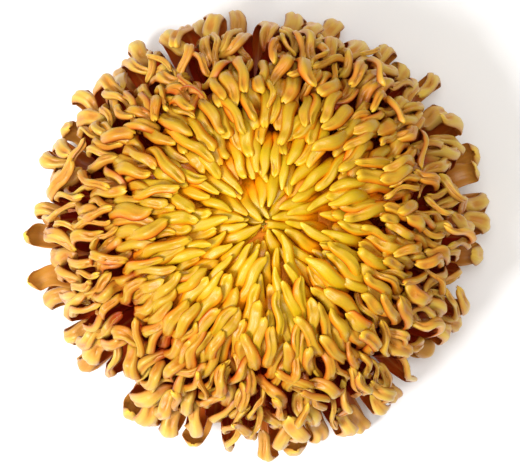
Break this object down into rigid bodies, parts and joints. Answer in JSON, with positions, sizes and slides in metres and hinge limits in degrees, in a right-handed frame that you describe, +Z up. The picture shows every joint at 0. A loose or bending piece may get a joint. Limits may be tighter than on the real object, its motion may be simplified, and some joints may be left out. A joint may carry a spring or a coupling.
{
  "type": "chrysanthemum",
  "caption": "Cut incurved chrysanthemum head, golden yellow to bronze: curled florets crowd a dome, wide straps ring the rim, and a green cup of bracts ends in a flat cut stem it rests on.",
  "frame": {"origin": "middle of the flat cut face of the stem stub, which rests on the surface", "axes": "+Z up out of the face of the flower, +X to the right and +Y to the top of a view from straight above"},
  "size_m": [0.1047, 0.0987, 0.0491],
  "materials": {
    "yellow_floret": "satin petal, bright yellow",
    "bronze_floret": "satin petal, golden outside and bronze to maroon inside",
    "green_bract": "matte leafy green with paler papery edges"
  },
  "bodies": {
    "root": {"inner_florets": "yellow_floret", "outer_florets": "bronze_floret", "involucre": "green_bract"}
  },
  "joints": []
}
